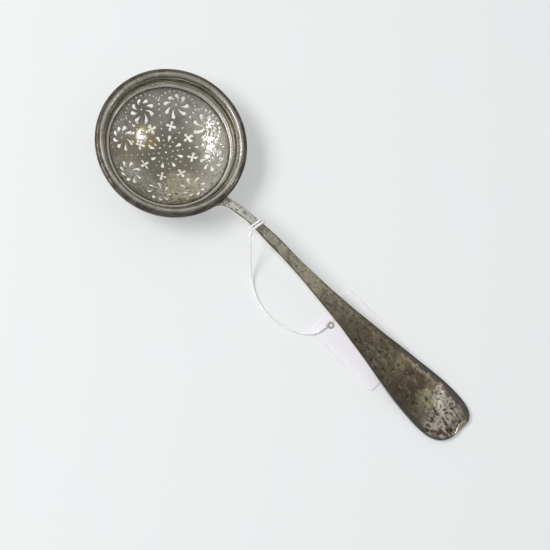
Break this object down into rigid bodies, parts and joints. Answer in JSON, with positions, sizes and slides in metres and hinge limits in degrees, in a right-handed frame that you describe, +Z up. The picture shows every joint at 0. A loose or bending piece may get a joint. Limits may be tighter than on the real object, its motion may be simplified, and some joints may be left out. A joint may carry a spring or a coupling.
{
  "type": "sifter ladle",
  "caption": "Antique silver sifter ladle: shallow round bowl pierced with flowers, crosses, drops and dots, moulded rim, flat stem handle, and a cotton thread with a blank ticket.",
  "frame": {"origin": "centre of the flat wear spot under the bowl, on the table", "axes": "+X from the bowl along the handle, +Y across it, +Z up out of the bowl"},
  "size_m": [0.1594, 0.05, 0.0129],
  "materials": {
    "silver": "antique silver, mottled grey and brown tarnish, worn bright on the ridges",
    "thread": "white twisted cotton",
    "card": "plain white ticket card, matt",
    "brass": "dull rolled eyelet"
  },
  "bodies": {
    "root": {"bowl": "silver", "rim_wire": "silver", "handle": "silver", "thread_wrap_1": "thread", "thread_wrap_2": "thread", "neck_knot": "thread", "thread_tail": "thread", "ticket_knot": "thread", "ticket": "card", "eyelet": "brass"}
  },
  "joints": []
}
